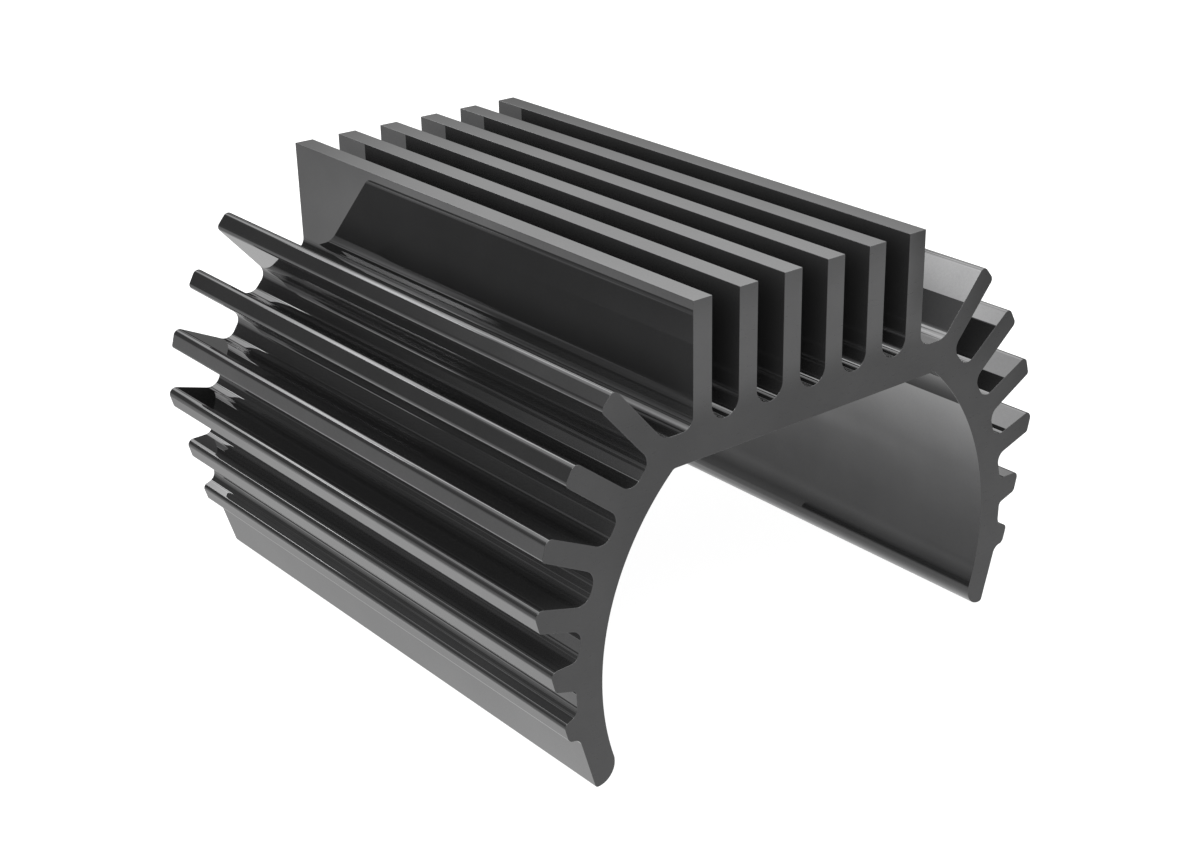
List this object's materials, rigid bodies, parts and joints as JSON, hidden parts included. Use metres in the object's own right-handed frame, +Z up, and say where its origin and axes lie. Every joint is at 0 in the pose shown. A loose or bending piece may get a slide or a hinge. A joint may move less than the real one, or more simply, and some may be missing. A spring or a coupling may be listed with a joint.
{
  "type": "motor heat sink",
  "caption": "Clip-on finned heat sink for a small flat-sided motor can: one dark anodised aluminium extrusion with upright fins on a flat web, short side fins and two curved spring legs.",
  "frame": {"origin": "on the axis of the motor that the legs hold, halfway along the length of the extrusion", "axes": "+Y along the extrusion, which is the motor's axis; +Z up, out through the tops of the upright fins; X across the two clip legs"},
  "size_m": [0.026, 0.0262, 0.0178],
  "materials": {
    "anodised_aluminium": "dark grey anodised, glossy along the extrusion and satin on the cut ends"
  },
  "bodies": {
    "root": {"heat_sink": "anodised_aluminium"}
  },
  "joints": []
}
